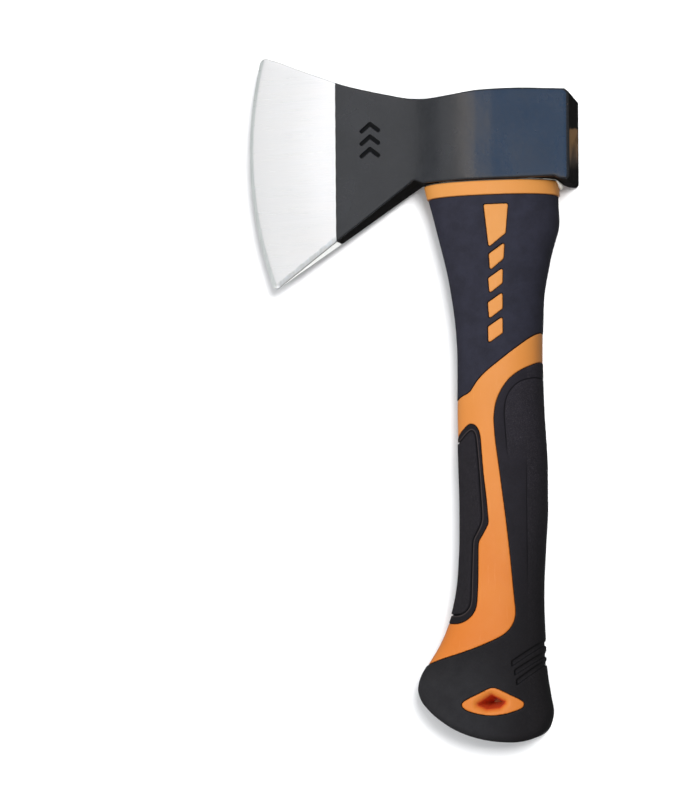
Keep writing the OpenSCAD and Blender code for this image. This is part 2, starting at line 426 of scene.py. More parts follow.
def rubber(name, top, low, pad=False, panel=False):
    n = Nodes(name)
    # painted light: the skin is painted lighter towards the head and darker towards the butt, standing in for the light
    # falling off along the handle
    y = n.span(n.axis(1), -0.11, 0.07, 0, 1)
    base = n.mix(y, low, top)
    # painted light: a lighter grey patch on the left of the butt's end
    base = n.mix(n.math("MULTIPLY", n.span(n.axis(1), -0.122, -0.104, 0.75, 0), n.span(n.axis(0), 0.03, 0.048, 1, 0)), base, lin(42, 42, 44))
    mott = n.noise(160, 3, 0.6)
    base = n.mix(n.span(mott, 0.35, 0.65, 0.0, 0.3), base, lin(24, 23, 25))
    fine = n.noise(4200, 2, 0.6)
    grain = 0.0
    lines = 0.0
    if pad:
        # a thin dark line in the groove, painted shade, with a pale line of painted highlight just inside it, and the
        # flange round the pad darkened with painted shade
        s = n.attr("s_pad")
        grain = n.span(s, -0.8, -0.3, 0.6, 0.0)
        lines = n.span(n.math("ABSOLUTE", n.math("ADD", s, -0.05)), 0.1, 0.34, 1, 0, smooth=True)
        base = n.mix(n.span(s, 0.3, 1.2, 0, 0.6), base, lin(19, 17, 19))
        base = n.mix(n.span(n.math("ABSOLUTE", n.math("ADD", s, -0.58)), 0.06, 0.3, 0.55, 0, smooth=True), base, lin(74, 64, 62))
    if panel:
        s = n.attr("s_panel")
        low_y = n.span(n.axis(1), -0.031, -0.021, 0, 1)
        strip = n.math("MULTIPLY", n.span(n.axis(1), -0.084, -0.070, 0, 1), n.span(n.axis(1), -0.037, -0.029, 1, 0))
        edge_x = n.math("MULTIPLY", n.math("ADD", n.axis(0), -EDGE_X * MM), 1000.0)
        grain = n.math("MAXIMUM", n.math("MULTIPLY", n.span(s, -0.6, -0.1, 1, 0), low_y),
                       n.math("MULTIPLY", n.span(edge_x, -0.1, 0.3, 0, 1), n.span(n.axis(1), -0.1, -0.03, 0.2, 1)))
        # painted shade: near-black lines drawn along the panel groove, the faint edge and the slots
        l1 = n.math("MULTIPLY", n.span(n.math("ABSOLUTE", s), 0.1, 0.3, 1, 0, smooth=True), low_y)
        l2 = n.math("MULTIPLY", n.span(n.math("ABSOLUTE", edge_x), 0.08, 0.3, 0.7, 0, smooth=True), strip)
        l3 = n.span(n.math("ABSOLUTE", n.math("ADD", n.attr("s_slots"), 0.02)), 0.08, 0.3, 0.9, 0, smooth=True)
        lines = n.math("MAXIMUM", n.math("MAXIMUM", l1, l2), l3)
    speck = n.math("MULTIPLY", n.span(fine, 0.5, 0.8, 0, 1), n.span(grain, 0, 1, 0.14, 0.62))
    base = n.mix(speck, base, lin(84, 80, 84))
    # painted shade: the groove lines are darkened almost to black
    if pad or panel:
        base = n.mix(n.math("MULTIPLY", lines, 0.9), base, lin(5, 5, 6))
    # the skin's own edge: painted shade dark in the seam, then a faint patchy paler line
    s = n.attr("s_edge")
    pale_edge_line = n.math("MULTIPLY", n.span(s, 0.25, 1.0, 1, 0), n.span(n.noise(420, 3, 0.7), 0.42, 0.72, 0.0, 0.3))
    base = n.mix(pale_edge_line, base, lin(58, 54, 56))
    base = n.mix(n.span(s, 0.05, 0.3, 0.85, 0.0), base, lin(8, 6, 7))
    rough = n.math("ADD", n.span(mott, 0.3, 0.7, 0.6, 0.7), n.math("MULTIPLY", grain, 0.08))
    height = n.math("ADD", n.math("MULTIPLY", fine, n.span(grain, 0, 1, 0.4, 1.3)), n.math("MULTIPLY", n.noise(1300, 3, 0.6), 0.5))
    if pad or panel:
        height = n.math("SUBTRACT", height, n.math("MULTIPLY", lines, 1.6))
    return n.set(color=base, rough=rough, spec=0.14, normal=n.bump(height, 0.36, 0.00014))


def orange_plastic():
    n = Nodes("orange_nylon")
    # painted light: paler towards the head and deeper orange towards the butt
    y = n.span(n.axis(1), -0.09, 0.06, 0, 1)
    base = n.mix(y, lin(199, 111, 36), lin(202, 137, 68))
    base = n.mix(n.span(n.noise(45, 2, 0.5), 0.35, 0.65, 0, 0.3), base, lin(208, 130, 56))
    base = n.mix(n.span(n.noise(900, 3, 0.7), 0.62, 0.78, 0, 0.14), base, lin(190, 86, 28))
    # scuffs along the handle
    base = n.mix(n.span(n.noise(1.0, 4, 0.7, stretch=(900, 60, 900)), 0.6, 0.72, 0, 0.14), base, lin(240, 176, 116))
    # painted shade: the wall of the hanging hole turns dark red deeper in
    painted_hole_shade = n.math("MULTIPLY", n.span(n.attr("s_hole"), 0.9, -0.1, 0, 1), n.span(n.attr("depth"), 0.3, 2.4, 0, 1))
    base = n.mix(painted_hole_shade, base, lin(204, 78, 38))
    # painted shade along the line where the soft rubber laps on to it
    base = n.mix(n.span(n.attr("s_edge"), 0.05, 0.42, 0.85, 0.0, smooth=True), base, lin(112, 40, 18))
    rough = n.span(n.noise(300, 3, 0.6), 0.3, 0.7, 0.34, 0.46)
    height = n.math("ADD", n.noise(3000, 2, 0.5), n.math("MULTIPLY", n.noise(500, 2, 0.5), 0.7))
    return n.set(color=base, rough=rough, spec=0.35, normal=n.bump(height, 0.16, 0.00012))


def black_lacquer():
    n = Nodes("black_lacquer")
    base = n.mix(n.span(n.noise(70, 3, 0.6), 0.3, 0.7, 0, 1), lin(23, 25, 29), lin(30, 32, 37))
    base = n.mix(n.span(n.noise(2600, 2, 0.6), 0.66, 0.8, 0, 0.5), base, lin(70, 70, 70))
    # paint thinned and knocked off along the sharp edges
    chip = n.math("MULTIPLY", n.span(n.attr("s_rim"), 0.35, 0.8, 1, 0), n.span(n.noise(1100, 4, 0.75), 0.64, 0.72, 0, 1))
    base = n.mix(n.math("MULTIPLY", chip, 0.8), base, lin(176, 150, 120))
    # painted shade: the struck marks are painted near black
    base = n.mix(n.span(n.attr("s_mark"), 0.0, 0.25, 1.0, 0), base, lin(3, 3, 3))
    # the paint stops short of the ground blade in a dark hairline
    line = n.math("ADD", n.math("MULTIPLY", n.axis(0), 1000.0), n.math("MULTIPLY", n.math("ADD", n.axis(1), -0.062), 8.57))
    base = n.mix(n.span(line, PAINT_X + 0.1, PAINT_X + 0.6, 0.9, 0), base, lin(9, 7, 5))
    rough = n.span(n.noise(500, 3, 0.6), 0.3, 0.7, 0.17, 0.23)
    # the bottoms of the struck marks are dull
    rough = n.math("MAXIMUM", rough, n.span(n.attr("s_mark"), 0.0, 0.2, 0.95, 0))
    height = n.math("ADD", n.noise(700, 2, 0.5), n.math("MULTIPLY", n.noise(2600, 2, 0.5), 0.35))
    waves = n.bump(n.noise(48, 2, 0.5, distortion=0.4), 0.3, 0.0004)
    return n.set(color=base, rough=rough, spec=0.5, normal=n.bump(height, 0.14, 0.0002, normal=waves))


def forged_black():
    n = Nodes("forged_black")
    base = n.mix(n.span(n.noise(110, 4, 0.65), 0.35, 0.65, 0, 1), lin(13, 12, 11), lin(20, 18, 16))
    # painted reflection: a warm band on the struck face
    tilt = n.math("MULTIPLY", n.math("ADD", n.axis(2), -Z0 * MM), 0.17)
    band = n.math("ADD", n.math("ADD", n.axis(1), tilt), n.span(n.noise(240, 2, 0.5), 0.3, 0.7, -0.0004, 0.0004))
    painted_warm_reflection = n.math("MULTIPLY", n.span(band, 0.0895, 0.0955, 0, 1), n.span(band, 0.1062, 0.1072, 1, 0))
    painted_warm_reflection = n.math("MULTIPLY", painted_warm_reflection, n.span(n.axis(0), 0.0685, 0.0695, 0, 1))
    # strongest along the middle of the face, and patchy
    out = n.math("ABSOLUTE", n.math("ADD", n.axis(2), -Z0 * MM))
    painted_warm_reflection = n.math("MULTIPLY", painted_warm_reflection, n.span(out, 0.0085, 0.0125, 1, 0, smooth=True))
    painted_warm_reflection = n.math("MULTIPLY", painted_warm_reflection, n.span(n.noise(70, 3, 0.6), 0.36, 0.56, 0.45, 1))
    base = n.mix(painted_warm_reflection, base, n.mix(n.span(band, 0.093, 0.101, 0, 1), lin(104, 90, 80), lin(140, 106, 68)))
    base = n.mix(n.span(n.noise(1500, 4, 0.7), 0.62, 0.74, 0, 0.3), base, lin(48, 44, 40))
    rough = n.span(n.noise(400, 3, 0.6), 0.3, 0.7, 0.68, 0.84)
    height = n.math("ADD", n.noise(420, 4, 0.65), n.math("MULTIPLY", n.noise(2200, 3, 0.6), 0.4))
    return n.set(color=base, rough=rough, spec=0.08, normal=n.bump(height, 0.35, 0.0003))


def ground_steel():
    n = Nodes("ground_steel")
    # fine grinding lines run from the edge towards the handle
    lines = n.noise(1.0, 5, 0.7, stretch=(26, 2600, 400))
    broad = n.noise(1.0, 3, 0.6, stretch=(9, 300, 60))
    base = n.mix(n.span(lines, 0.3, 0.7, 0, 1), lin(234, 234, 234), lin(244, 244, 244))
    base = n.mix(n.span(broad, 0.35, 0.7, 0, 0.5), base, lin(243, 241, 239))
    # polished brighter towards the paint
    base = n.mix(n.span(n.axis(0), -0.070, -0.036, 0.75, 0), base, lin(222, 222, 221))
    # the small finishing bevel along the edge, and the grind along the lower side, run across these
    across = n.noise(1.0, 3, 0.6, stretch=(1500, 120, 200))
    base = n.mix(n.span(n.attr("s_bevel"), -0.1, 0.1, 0, 0.9), base, n.mix(n.span(across, 0.3, 0.7, 0, 1), lin(204, 209, 207), lin(222, 226, 224)))
    base = n.mix(n.span(n.attr("s_low"), -0.1, 0.15, 0, 0.8), base, n.mix(n.span(across, 0.3, 0.7, 0, 1), lin(214, 215, 212), lin(232, 233, 230)))
    # painted shade: a darker line along the rims of the ground blade
    base = n.mix(n.span(n.attr("s_rim"), 0.1, 0.3, 0.5, 0), base, lin(176, 174, 170))
    rough = n.span(lines, 0.3, 0.7, 0.26, 0.34)
    return n.set(color=base, metal=1.0, rough=rough, normal=n.bump(lines, 0.06, 0.00005))


def epoxy():
    n = Nodes("pale_epoxy")
    base = n.mix(n.span(n.noise(380, 4, 0.6), 0.3, 0.7, 0, 1), lin(214, 210, 196), lin(236, 233, 224))
    base = n.mix(n.span(n.noise(1500, 3, 0.6), 0.62, 0.76, 0, 0.5), base, lin(150, 140, 120))
    # painted shade: the film between collar and head is tinted dark where it sits in the gap
    base = n.mix(n.attr("dark"), base, lin(40, 30, 26))
    rough = n.span(n.noise(260, 3, 0.6), 0.3, 0.7, 0.26, 0.42)
    return n.set(color=base, rough=rough, spec=0.5, normal=n.bump(n.noise(650, 3, 0.6), 0.35, 0.0003))


def glass_fibre():
    n = Nodes("glass_fibre")
    # ends of the glass rovings in the sawn face, streaks along the sides
    spots = n.noise(1.0, 3, 0.6, stretch=(2200, 60, 2200))
    bands = n.noise(1.0, 3, 0.6, stretch=(260, 16, 340))
    base = n.mix(n.span(spots, 0.35, 0.65, 0, 1), lin(176, 160, 96), lin(222, 212, 160))
    base = n.mix(n.span(bands, 0.4, 0.7, 0, 0.6), base, lin(150, 132, 70))
    rough = n.span(spots, 0.3, 0.7, 0.38, 0.62)
    return n.set(color=base, rough=rough, normal=n.bump(spots, 0.4, 0.00015))


# the top and low colours carry painted light: lighter and bluer towards the head, darker towards the butt
M_SLEEVE = rubber("soft_rubber_sleeve", lin(42, 42, 53), lin(37, 37, 47))
M_FINGER = rubber("soft_rubber_finger_pad", lin(32, 29, 35), lin(26, 24, 26), pad=True)
M_PALM = rubber("soft_rubber_grip", lin(39, 36, 44), lin(25, 23, 24), panel=True)
M_ORANGE = orange_plastic()
M_LACQUER = black_lacquer()
M_FORGED = forged_black()
M_STEEL = ground_steel()
M_EPOXY = epoxy()
M_FIBRE = glass_fibre()

# ------------------------------------------------------------------ handle: its shape as distances

# Edges of the handle seen from the side, [Y, X].
LEFT = [
    [92, 6.4], [86, 7.1], [79, 8.7], [73, 10.4], [67, 12], [60, 13.8], [53, 15.6], [46, 17.2], [38, 18.6], [30, 19.8],
    [22, 20.6], [12, 21.1], [2, 21.1], [-10, 20.9], [-20, 21.1], [-34, 21.5], [-50, 21.9], [-62, 21.9],
    [-72, 21.5], [-80, 20.9], [-86, 20], [-92, 18.6], [-97, 17], [-102, 15], [-106, 13], [-110, 10.6],
    [-114, 7.9], [-117, 5.9], [-120, 4.6], [-123, 4], [-127, 3.9], [-152, 3.9],
]
RIGHT = [
    [92, 63.3], [82, 63.3], [77, 63.3], [73, 63.45], [70, 63.6], [68, 63.6], [66, 63.35], [64, 62.9], [60.5, 61.8], [54.5, 60.1], [48.5, 58.9],
    [42.5, 57.7], [36, 56.9], [30, 56.7],
    [22, 56.4], [12, 56.3], [2, 56.4], [-10, 56.8], [-20, 57.4], [-34, 58], [-50, 58], [-62, 57.3],
    [-72, 56.7], [-80, 56.3], [-86, 56.2], [-92, 56.3], [-97, 56.5], [-102, 56.7], [-106, 56.8],
    [-110, 57], [-114, 57.2], [-117, 57.6], [-120, 58], [-123, 58.5], [-127, 59.2], [-133, 60.3], [-152, 60.9],
]
HALF_T = [[-152, 13], [-115, 13], [-90, 12.8], [-50, 12.5], [-20, 12.1], [0, 11.8], [20, 11.6], [40, 11.6], [60, 12], [78, 12.3], [92, 12.1]]
BUTT = [
    [-12, -112], [-4, -120], [1, -124.5], [5, -128.3], [8.5, -131.2], [12.5, -134.4], [17, -137.3], [21, -139.5], [25.5, -141.3],
    [30, -142.6], [34, -143.4], [38, -143.9], [42, -144.1], [46, -144.1], [50.5, -143.4], [54.5, -142], [57.6, -139.6],
    [60.2, -136], [63.5, -130], [70, -118],
]
xl = softened([p[0] for p in LEFT], [p[1] for p in LEFT], 1.6, -150, 90)
xr = softened([p[0] for p in RIGHT], [p[1] for p in RIGHT], 1.0, -150, 90)
ht = softened([p[0] for p in HALF_T], [p[1] for p in HALF_T], 6, -150, 90)
SECTION_N = 2.6
SKIN = 2.4
COLLAR_TOP, COLLAR_LOW = 84.9, 79.0

BARS = [
    [[34.5, 75], [44.5, 75], [43.5, 63], [36.5, 57.5]],
    [[36.5, 54.5], [43, 59], [42.5, 52.5], [37, 48]],
    [[36.2, 44.5], [42.2, 48.5], [42, 42.5], [36.7, 38.5]],
    [[36, 34.5], [42, 38.5], [42, 32], [36.5, 28]],
    [[36, 24.5], [42, 28.5], [42, 22], [36.2, 18]],
]
SLEEVE = [
    [-30, 79], [95, 79], [95, 23.4], [70, 23.4], [58, 23.4], [56.4, 22.6], [54.5, 21.4], [52.3, 19.8], [49, 17.2], [45, 14.2],
    [41, 11.1], [37, 8], [34.5, 6], [32.3, 3.9], [30.4, 1.6], [29, -0.6], [28, -1.8], [26.6, -2.7], [25, -3.2], [22.5, -4.5],
    [19, -6.6], [10, -8], [-30, -8],
]
PALM = [
    [95, 11], [70, 11], [58, 11], [56, 10.2], [52.8, 8.6], [49, 6.6], [45.6, 4.2], [43.3, 1.7], [41.5, -1], [40, -4], [39, -7],
    [38.5, -10], [38.3, -13], [38.4, -16], [38.9, -22], [39.8, -28], [41.4, -40], [43, -52], [44.5, -65],
    [45.5, -75], [46.5, -86.5], [46.9, -90], [46.9, -92.7], [46.4, -95.2], [45.3, -97.4], [43.9, -99.2], [42, -100.8],
    [39.8, -102], [37.2, -103.3], [32.5, -105.3], [28, -107], [24, -108.4], [19.5, -109.8], [15, -111.2],
    [10.5, -112.9], [5, -115], [-30, -128], [-30, -170], [95, -170],
]
FINGER = [
    [0, -23], [19, -23], [22.3, -19.8], [25, -17.2], [27, -15.5], [28.2, -15], [29.6, -15.2], [31, -16.3], [32, -18], [32.6, -20.5],
    [33, -26], [33.5, -32], [34.1, -38], [34.9, -44], [35.5, -50], [35.9, -54.6], [35.9, -55.8], [35.2, -57.3],
    [33.6, -60.2], [32, -62.6], [31.6, -64.2], [31.5, -74.5], [31.4, -82.5], [31, -88.8], [30.3, -91],
    [28.8, -93.3], [26.3, -95.3], [23.5, -96.4], [21, -96.6], [10, -96.6], [0, -96.6],
]
FINGER_IN = [
    [0, -22.6], [19, -22.6], [23, -22.6], [25.3, -20.3], [27.5, -18.4], [28.9, -17.7], [30.2, -18.8], [30.8, -21.7], [31.4, -28],
    [32.1, -36], [32.6, -44], [33.1, -50.3], [33.2, -54.7], [31.6, -58.4], [29.4, -62], [29.1, -64.4], [28.9, -70.6], [28.7, -76.7],
    [28.5, -86.4], [28, -89.2], [26.5, -91.3], [24.2, -92.7], [21, -93.1], [10, -93.1], [0, -93.1],
]
PANEL_LINE = [
    [54, 3.6], [49.8, 2.6], [47, 0.7], [45, -1.6], [43.5, -4.4], [42.8, -7.7], [42.6, -11.7], [42.9, -15.8], [43.4, -22], [43.8, -26.8],
    [44.6, -29.8],
]
KITE = [
    [24.3, -129], [26, -127.2], [32.5, -124.1], [35.3, -122.6], [37, -122], [39, -122.1], [44.5, -124.8], [48.3, -126.5],
    [50.1, -127.8], [50.1, -129], [49.2, -130.3], [44.5, -132.1], [40.5, -133], [36.5, -133.3], [32.5, -133],
    [28, -132], [25.3, -130.7],
]
HOLE = [[29.3, -129.1], [36.7, -124.2], [43.9, -127.6], [40.6, -130.7], [34.9, -131.5]]
SLOTS = [[[45.4, -112.2], [56.7, -104.4]], [[46.5, -115.8], [56.9, -108.9]], [[47.3, -119.7], [57, -112.4]]]

class Patch:
    """The handle's shape as distances in mm, on a grid round one piece of it."""

    def __init__(self, x0, x1, y0, y1, hx, hy, hz):
        self.h = (hx, hy, hz)
        nz = int(2 * 14.2 / hz) // 2 * 2
        self.xs = np.arange(x0, x1, hx)
        self.ys = np.arange(y0, y1, hy)
        self.zs = (np.arange(nz) - (nz - 1) / 2) * hz
        X, Y = self.X, self.Y = np.meshgrid(self.xs, self.ys, indexing="ij")
        a, b, t = xl(self.ys), xr(self.ys), ht(self.ys)
        xc, hw = (a + b) / 2, (b - a) / 2
        n = (2.3 + 0.3 * step01(-self.ys, -80, -66))[None, :]
        px = np.abs(X - xc[None]) / hw[None]
        pz = np.abs(self.zs)[None, :] / t[:, None]
        m = n[:, :, None]
        G = (px[:, :, None] ** m + pz[None] ** m) ** (1 / m)
        gy = np.gradient(G, hy, axis=1)
        Gs = np.maximum(G, 0.2) ** (1 - m)
        gx = Gs * (px ** (n - 1) / hw[None])[:, :, None]
        gz = Gs * (pz[None] ** (m - 1) / t[None, :, None])
        self.D = np.clip((G - 1) / np.sqrt(gx**2 + gy**2 + gz**2 + 1e-6), -9, 9).astype(np.float32)
        ends = np.vstack([chaikin(BUTT, 3, closed=False), [[90, -100], [90, 120], [-40, 120], [-40, -90]]])
        if y0 < -100:
            butt = area_distance(ends, X, Y)
            self.OUT = both(self.D, butt[:, :, None].astype(np.float32), 3.2).astype(np.float32)
        else:
            self.OUT = self.D

    def area(self, poly):
        return area_distance(poly, self.X, self.Y)


A_SLEEVE, A_PALM, A_KITE = chaikin(SLEEVE, 3), chaikin(PALM, 3), chaikin(KITE, 3)
A_FINGER, A_PAD = chaikin(FINGER, 2), chaikin(FINGER_IN, 2)
A_BARS = [rounded([[x, y, 0.5] for x, y in b]) for b in BARS]
A_HOLE = rounded([[x, y, 1.1] for x, y in HOLE])
A_PANEL = np.vstack([chaikin(PANEL_LINE, 2, closed=False), [[45.6, -36], [46, -200], [95, -200], [95, 3.6]]])


def d_bars(p):
    d = np.full(p.X.shape, 1e3)
    for b in A_BARS:
        d = np.minimum(d, p.area(b) - 0.2)
    return d


def d_sleeve(p):
    return np.maximum(np.where(p.Y > 60, p.Y - COLLAR_LOW, p.area(A_SLEEVE)), -d_bars(p))


def d_palm(p):
    return np.maximum(p.area(A_PALM), -p.area(A_KITE))


def d_slots(p):
    d = np.full(p.X.shape, 1e3)
    for (x0, y0), (x1, y1) in SLOTS:
        u = np.array([x1 - x0, y1 - y0])
        u = u / np.linalg.norm(u)
        side = (p.X - x0) * -u[1] + (p.Y - y0) * u[0]
        d = np.minimum(d, np.maximum(np.abs(side) - 0.9, x0 - p.X - 0.2))
    return d


def build(name, p, F, mats, flat, depth_attrs, keep_ratio, crease=50):
    """Meshes one piece of the handle, and thins out the mesh where it lies against another piece."""
    hx, hy, hz = p.h
    F = np.pad(F, 1, constant_values=5.0).astype(np.float32)
    gx_ = p.xs[0] - hx + hx * np.arange(F.shape[0])
    gy_ = p.ys[0] - hy + hy * np.arange(F.shape[1])
    gz_ = p.zs[0] - hz + hz * np.arange(F.shape[2])
    v, q = surface_nets(F, gx_, gy_, gz_)
    # settle the points on the surface
    for _ in range(3):
        f = trilinear(F, gx_, gy_, gz_, v)
        e = 0.3 * hx
        g = np.column_stack([
            trilinear(F, gx_, gy_, gz_, v + np.array(d)) - trilinear(F, gx_, gy_, gz_, v - np.array(d))
            for d in ((e, 0, 0), (0, e, 0), (0, 0, e))
        ]) / (2 * e)
        v = v - 0.8 * g * np.clip(f / np.maximum((g**2).sum(1), 0.15), -0.2, 0.2)[:, None]
    depth = -trilinear(p.OUT, p.xs, p.ys, p.zs, v)
    vals = {k: bilinear(d, p.xs, p.ys, v) for k, d in flat.items()}
    vals.update({k: fn(depth, v) for k, fn in depth_attrs.items()})
    o = make_object(name, v, q, mats, crease=crease, attrs=vals)
    if keep_ratio < 1:
        g = o.vertex_groups.new(name="hidden")
        ids = np.nonzero(depth > 1.0)[0]
        g.add(ids.tolist(), 1.0, "REPLACE")
        m = o.modifiers.new("thin_hidden", "DECIMATE")
        m.ratio = keep_ratio
        m.vertex_group = "hidden"
        m.vertex_group_factor = 10.0
        dg = bpy.context.evaluated_depsgraph_get()
        me = bpy.data.meshes.new_from_object(o.evaluated_get(dg), preserve_all_data_layers=True, depsgraph=dg)
        o.modifiers.clear()
        old = o.data
        o.data = me
        bpy.data.meshes.remove(old)
        o.vertex_groups.clear()
        me.name = name
    print("PIECE", name, len(q), len(o.data.vertices), sum(len(f.vertices) - 2 for f in o.data.polygons), f"{time.time() - T0:.1f} s")
    return o


LAP = 0.05  # half the seam between the skins and the plastic, mm


def skin(p, region, cut, lip=0.28):
    body = both(p.OUT + cut[:, :, None], (region + LAP)[:, :, None], lip)
    return np.maximum(body, -(p.OUT + SKIN))


p = Patch(5, 66, -8.6, 80, 0.34, 0.42, 0.34)
reg = d_sleeve(p)
sleeve = build("upper_sleeve", p, skin(p, reg, 0 * reg), [M_SLEEVE], {"s_edge": -reg}, {}, 0.6)
place(sleeve, "upper_sleeve")

p = Patch(13, 38, -98, -13, 0.25, 0.3, 0.3)
reg, pad = p.area(A_FINGER), p.area(A_PAD)
# a shut-off groove runs round the raised pad, deeper where it reaches the handle's side
cut = 0.34 * np.exp(-((pad / 0.26) ** 2)) * (1 + 2.4 * step01(-p.X, -24.5, -22.3))
cut = cut + 0.1 * step01(pad, 0.0, 0.5) - 0.14 * step01(-pad, 0.1, 0.9)
finger = build("finger_pad", p, skin(p, reg, cut), [M_FINGER], {"s_edge": -reg, "s_pad": pad}, {}, 0.6)
place(finger, "finger_pad")

p = Patch(1.6, 65, -146.4, 12, 0.36, 0.45, 0.36)
reg, panel, slots = d_palm(p), p.area(A_PANEL), d_slots(p)
fade = step01(p.Y, -31, -22)
band = step01(p.Y, -84, -72) * step01(-p.Y, 29, 37)
cut = 0.2 * np.exp(-((panel / 0.3) ** 2)) * fade + 0.08 * np.exp(-(((p.X - EDGE_X) / 0.35) ** 2)) * band
cut = cut + 0.6 * step01(-slots, -0.1, 0.25)
palm = build("palm_grip", p, skin(p, reg, cut), [M_PALM], {"s_edge": -reg, "s_panel": panel, "s_slots": slots}, {}, 0.6)
place(palm, "palm_grip")

CORE = [
    [15, 121.5], [57, 121.5], [57, 80], [54, 55], [51.5, 30], [51.5, -104], [49.5, -106], [28.5, -106], [26.5, -104], [26.5, 30],
    [22, 55], [15, 80],
]
CORE_T = 6.0

p = Patch(1.6, 66.6, -146.4, 86.6, 0.36, 0.48, 0.36)
s_sleeve, s_palm, s_finger, s_hole, s_core = d_sleeve(p), d_palm(p), p.area(A_FINGER), p.area(A_HOLE), p.area(CORE)
# plastic face, a little lower than the rubber round it
F = np.maximum(p.OUT + 0.2, (p.Y - 79.2)[:, :, None])
# the hanging hole narrows towards the middle, as a moulded hole does
draft = 0.19 * (13 - np.abs(p.zs))[None, None, :]
F = both(F, -(s_hole[:, :, None] + 0.3 + draft), 2.3)
for reg in (s_sleeve, s_palm, s_finger):
    F = both(F, -np.maximum((reg - LAP)[:, :, None], -(p.OUT + SKIN + 0.02)), 0.2)
ring = (np.abs(p.Y - (COLLAR_TOP + COLLAR_LOW) / 2) - (COLLAR_TOP - COLLAR_LOW) / 2)[:, :, None]
F = np.minimum(F, both(p.D - 0.5, ring, 0.35))
F = np.maximum(F, -(np.maximum(s_core[:, :, None], (np.abs(p.zs) - CORE_T)[None, None, :]) - 0.03))
s_edges = np.minimum.reduce([np.abs(s_sleeve), np.abs(s_palm), np.abs(s_finger)])
s_edges = np.where(p.Y > COLLAR_LOW + 0.2, p.Y - COLLAR_LOW, s_edges)
jacket = build("handle_jacket", p, F, [M_ORANGE], {"s_edge": s_edges, "s_hole": s_hole}, {"depth": lambda d, v: d}, 0.3)
place(jacket, "handle_jacket")

# ------------------------------------------------------------------ head

EDGE_C, EDGE_R = np.array([95.0, 104.0]), 165.0
top_line = [
    [-56, 141.3], [-47, 137.3], [-38, 133.7], [-31, 130.8], [-24, 128.4], [-15, 125.8], [-6, 123.5], [-1.5, 122.3], [2.5, 121.5], [7.4, 121.0],
    [12, 120.9], [20.6, 121.6], [26, 122.3], [31, 122.8], [36, 123], [46, 123], [54, 122.6], [61, 122], [68.3, 121.5],
]
arc = [EDGE_C + EDGE_R * np.array([-math.cos(a), math.sin(a)]) for a in np.radians(np.arange(12.7, -19.8, -0.35))]
top_s = chaikin(top_line, 3, closed=False)
outline = [[-66.45, 145.15, 3.0]] + [[x, y, 0] for x, y in arc] + [[-59.0, 43.1, 2.0], [4.4, 87.1, 1.2], [8.5, 85.5, 1.0], [63.9, 85.5, 1.5], [66.0, 84.4, 1.5], [69.1, 84.1, 0.6], [70, 85.2, 0.6], [70, 120, 0.6]]
outline += [[x, y, 0] for x, y in top_s[::-1]]
outline = rounded(outline, steps=7)
outline = resampled(outline, 0.55)
r_out = np.linalg.norm(outline - EDGE_C, axis=1)
is_edge = r_out > EDGE_R - 0.25
# everything but the cutting edge, as a path
first = int(np.argmax(is_edge & ~np.roll(is_edge, -1)))
path = np.roll(outline, -first - 1, axis=0)
sides_path = path[: int((~is_edge).sum()) + 1]
plan_raw = softened([-76, -30, -10, -2, 4, 9, 14, 19, 24, 29, 35, 40, 46, 70], [v * 13.1 for v in
                    (0.02, 0.38, 0.55, 0.62, 0.685, 0.765, 0.86, 0.935, 0.975, 0.997, 1.003, 0.996, 0.985)] + [12.75], 2.4, -76, 70)
plan = lambda x: np.minimum(plan_raw(x), 13.09)
disc = pchip([60, 110, 130, 150, 163.3], [16, 8, 5.15, 2.4, 0.86])


def thickness(x, y):
    r = np.hypot(x - EDGE_C[0], y - EDGE_C[1])
    d = np.where(r > 163.3, 0.12 + (165 - r) / 1.7 * 0.74, disc(r))
    p = plan(x)
    k = 0.5
    h = np.clip(0.5 + 0.5 * (p - d) / k, 0, 1)
    s = p * (1 - h) + d * h - k * h * (1 - h)
    return np.maximum(np.where(r > 163.3, np.minimum(p, d), s), 0.1)


def fillet_r(x):
    return np.interp(x, [-60, -31, -30, 0, 20], [0.25, 0.35, 0.75, 0.85, 1.0])


def chevrons():
    """Three plain marks struck into the cheek, stacked along the handle's direction."""
    out = []
    for cy in (110.6, 105.3, 100.0):
        out.append([[-18.9, cy - 1.5], [-15.2, cy + 1.4], [-11.5, cy - 1.5]])
    return out


def mark_depth(x, y):
    d = np.full(np.shape(x), 1e3)
    for m in chevrons():
        d = np.minimum(d, line_distance(m, np.asarray(x), np.asarray(y)) - 0.82)
    return d


LOW_A, LOW_B = np.array([-59.0, 43.1]), np.array([4.4, 87.1])
LOW_DIR = (LOW_B - LOW_A) / np.linalg.norm(LOW_B - LOW_A)


def low_side(x, y):
    """Distance up from the lower side of the blade, square to it."""
    return -(x - LOW_A[0]) * LOW_DIR[1] + (y - LOW_A[1]) * LOW_DIR[0]


def grind_width(x):
    return 2.05 + 0.1 * np.sin(x * 1.3) + 0.07 * np.sin(x * 3.1 + 1)


def head_height(x, y, delta):
    h = thickness(x, y)
    # hammer-soft unevenness of the forged faces
    h = h - 0.05 * (1 + np.sin(x * 0.16 + 0.9) * np.sin(y * 0.21 + 0.4)) * step01(x, -28, -18)
    # the ground blade has a second, steeper grind along its lower side
    low = np.clip(grind_width(x) - low_side(x, y), 0, 3) * step01(-x, 29.6, 30.0)
    h = np.maximum(h - 0.34 * low, np.minimum(h, 0.35))
    r = np.minimum(fillet_r(x), 0.75 * h)
    t = np.clip(1 - delta / r, 0, 1)
    z = h - r * (1 - np.sqrt(np.maximum(1 - t * t, 0)))
    inside = (x > -21) & (x < -9) & (y > 94) & (y < 116)
    if np.any(inside):
        dm = mark_depth(x[inside], y[inside])
        z[inside] -= 0.6 * step01(-dm, -0.12, 0.3)
    return z


